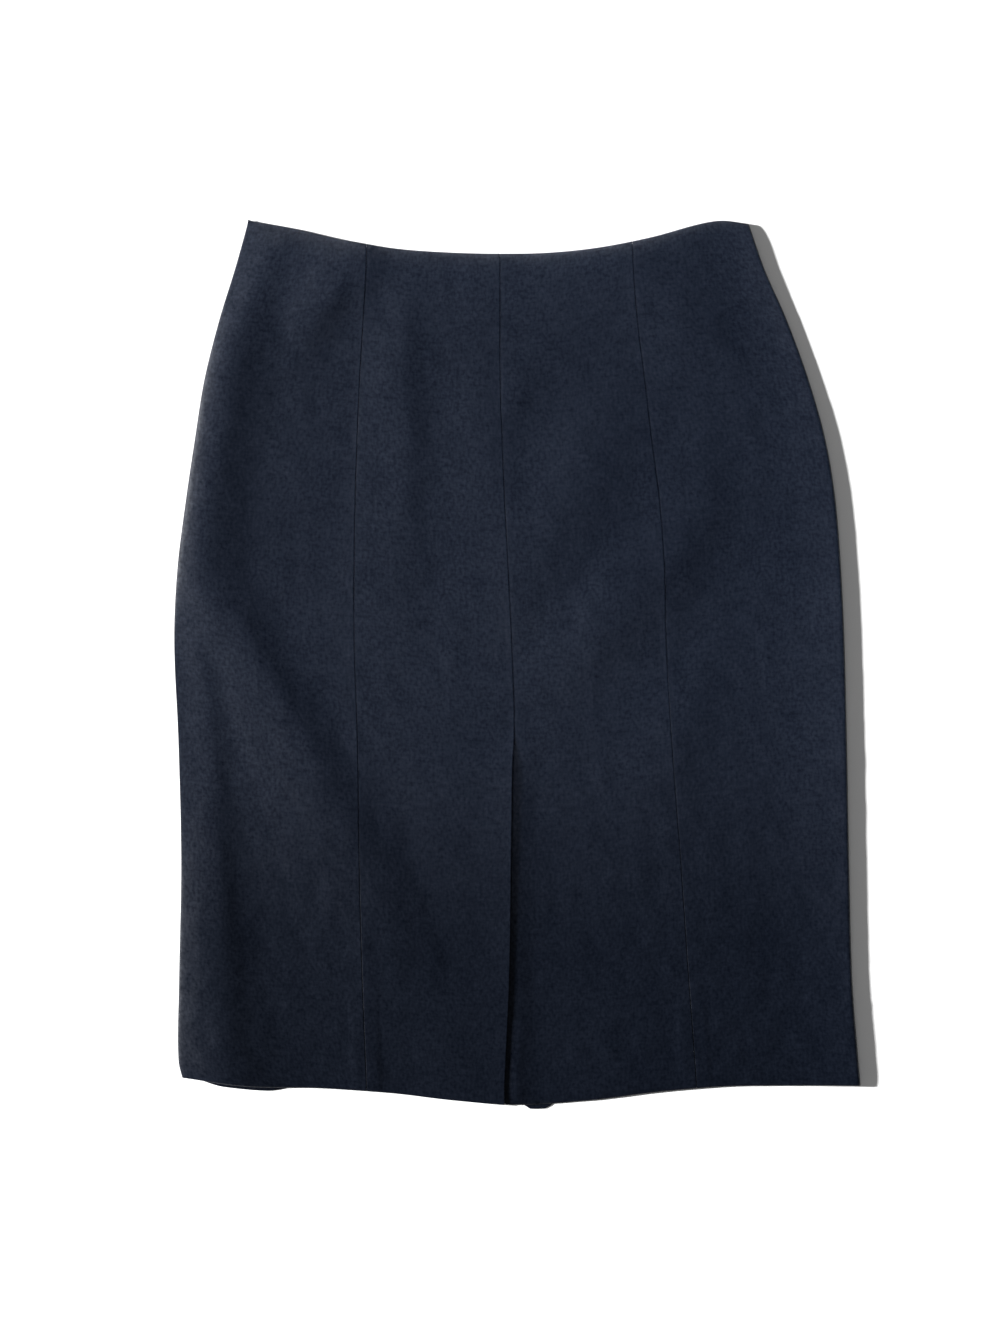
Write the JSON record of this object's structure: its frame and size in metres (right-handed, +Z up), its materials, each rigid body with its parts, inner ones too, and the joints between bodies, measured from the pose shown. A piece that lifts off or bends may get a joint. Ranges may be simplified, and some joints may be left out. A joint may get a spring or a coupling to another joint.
{
  "type": "pencil skirt",
  "caption": "Tailored pencil skirt laid flat on its front, back up, with princess seams and a centre seam that opens into a lapped hem vent.",
  "frame": {"origin": "bottom centre of the bounding box, on the surface that the skirt lies on", "axes": "+X to the right as the back is seen from above, +Y from the hem to the waist, +Z up out of the surface"},
  "size_m": [0.493, 0.6391, 0.006],
  "materials": {
    "navy_wool": "matte, fine worsted weave with a faint mottle"
  },
  "bodies": {
    "root": {"back_side_left": "navy_wool", "back_center_left": "navy_wool", "back_center_right": "navy_wool", "back_side_right": "navy_wool", "front": "navy_wool"}
  },
  "joints": []
}
